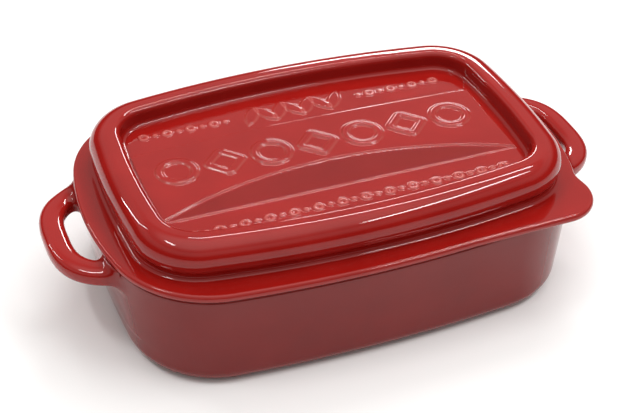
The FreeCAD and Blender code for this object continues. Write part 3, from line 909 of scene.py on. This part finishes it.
# %% Floor
table = bpy.data.meshes.new("table_top")
half = 8.0      # in metres
table.from_pydata([(-half, -half, 0), (half, -half, 0), (half, half, 0), (-half, half, 0)],
                  [], [(0, 1, 2, 3)])
floor = bpy.data.objects.new("table_top", table)
bpy.context.collection.objects.link(floor)
table_look = bpy.data.materials.new("pale_table")
table_look.use_nodes = True
table_shader = table_look.node_tree.nodes["Principled BSDF"]
table_shader.inputs["Base Color"].default_value = (0.93, 0.93, 0.93, 1)
table_shader.inputs["Roughness"].default_value = 0.9
table_shader.inputs["Specular IOR Level"].default_value = 0.0
table.materials.append(table_look)
print("table", 2 * half, "m square")

# %% [markdown]
# ## The ceiling
# The sky of the studio is a dim ring at the horizon that brightens overhead, like a ceiling lit
# by bounced light. The rolls of the lid mirror all of it at once, so the way it brightens draws
# the soft shading across each roll. The dip part of the way up keeps the lid's top from going
# milky.

# %% Ceiling
# Pairs of height, where one is straight up, and glow.
GLOW = [(0.0, 0.05), (0.28, 0.05), (0.48, 0.62), (0.64, 0.66), (0.71, 0.42), (0.80, 0.62),
        (0.90, 1.35), (1.0, 1.6)]
world = bpy.data.worlds.new("studio")
world.use_nodes = True
sky = world.node_tree
way_up = sky.nodes.new("ShaderNodeTexCoord")
height = sky.nodes.new("ShaderNodeSeparateXYZ")
ramp = sky.nodes.new("ShaderNodeValToRGB")
sky.links.new(way_up.outputs["Generated"], height.inputs["Vector"])
sky.links.new(height.outputs["Z"], ramp.inputs["Fac"])
sky.links.new(ramp.outputs["Color"], sky.nodes["Background"].inputs["Color"])
while len(ramp.color_ramp.elements) < len(GLOW):
    ramp.color_ramp.elements.new(0.5)
for stop, (rise, glow) in zip(ramp.color_ramp.elements, GLOW):
    stop.position = rise
    stop.color = (glow, glow * 0.985, glow * 0.96, 1)
sky.nodes["Background"].inputs["Strength"].default_value = 1.05
bpy.context.scene.world = world
print("sky stops", len(ramp.color_ramp.elements))

# %% [markdown]
# ## Tubes and windows
# Three long, narrow tubes draw the thin bright lines along the rolls: the narrower the tube,
# the crisper the line. Two windows behind the dish catch the rear corners of the roll and the
# shoulders of the handles. Their glow is given for each square metre, so a light can be made
# longer without getting dimmer.

# %% Tubes
def tube(name, way, distance, length, width, glow):
    """A narrow light in the direction way from the dish, facing it, with its length level."""
    toward = Vector(way).normalized()
    lamp = bpy.data.lights.new(name, "AREA")
    lamp.shape, lamp.size, lamp.size_y = "RECTANGLE", length, width
    lamp.energy = glow * length * width * math.pi
    holder = bpy.data.objects.new(name, lamp)
    holder.location = toward * distance
    holder.rotation_euler = toward.to_track_quat("Z", "Y").to_euler()
    bpy.context.collection.objects.link(holder)
    return holder


tube("front_tube", (0.46, -0.28, 0.88), 1.5, 0.8, 0.07, 33)
tube("rear_tube", (0.36, 0.46, 0.82), 1.5, 0.9, 0.06, 33)
tube("left_tube", (-0.48, 0.02, 0.88), 1.5, 0.35, 0.08, 33)
tube("left_window", (-0.54, 0.62, 0.57), 1.6, 0.035, 0.70, 33)
tube("right_window", (0.40, 0.76, 0.50), 1.6, 0.45, 0.11, 24)
print("lights", sorted(light.name for light in bpy.data.lights))

# %% [markdown]
# ## The camera
# A long lens from about three lengths of the dish away keeps the outlines calm, and the far
# handle nearly as large as the near one. The camera stands to the left of the front and looks
# down by about 38 degrees, which shows the panel, one long wall and both handles. Its place is
# worked out from those angles, and two small shifts put the dish in the middle of the frame.

# %% Camera
AZIMUTH, ELEVATION, ROLL = -23.003, 37.86, 1.974
DISTANCE, SHIFT_RIGHT, SHIFT_UP, AIM_HEIGHT = 719.3, -5.64, -11.55, 45
LENS, SENSOR_WIDTH = 80.93904, 36.0
az, el, roll = map(math.radians, (AZIMUTH, ELEVATION, ROLL))
back = Vector((math.sin(az) * math.cos(el), -math.cos(az) * math.cos(el), math.sin(el)))
right = (-back).cross(Vector((0, 0, 1))).normalized()
up = right.cross(-back)
rolled_right = right * math.cos(roll) + up * math.sin(roll)
rolled_up = up * math.cos(roll) - right * math.sin(roll)
camera_data = bpy.data.cameras.new("camera")
camera_data.lens, camera_data.sensor_width = LENS, SENSOR_WIDTH
camera = bpy.data.objects.new("camera", camera_data)
spot = Vector((0, 0, AIM_HEIGHT)) + back * DISTANCE + rolled_right * SHIFT_RIGHT + rolled_up * SHIFT_UP
axes = Matrix((rolled_right, rolled_up, back)).transposed()
camera.matrix_world = Matrix.Translation(spot * MM) @ axes.to_4x4()
bpy.context.collection.objects.link(camera)
bpy.context.scene.camera = camera
bpy.context.scene.view_settings.view_transform = "Standard"
print("camera at", [round(value, 3) for value in camera.matrix_world.translation])
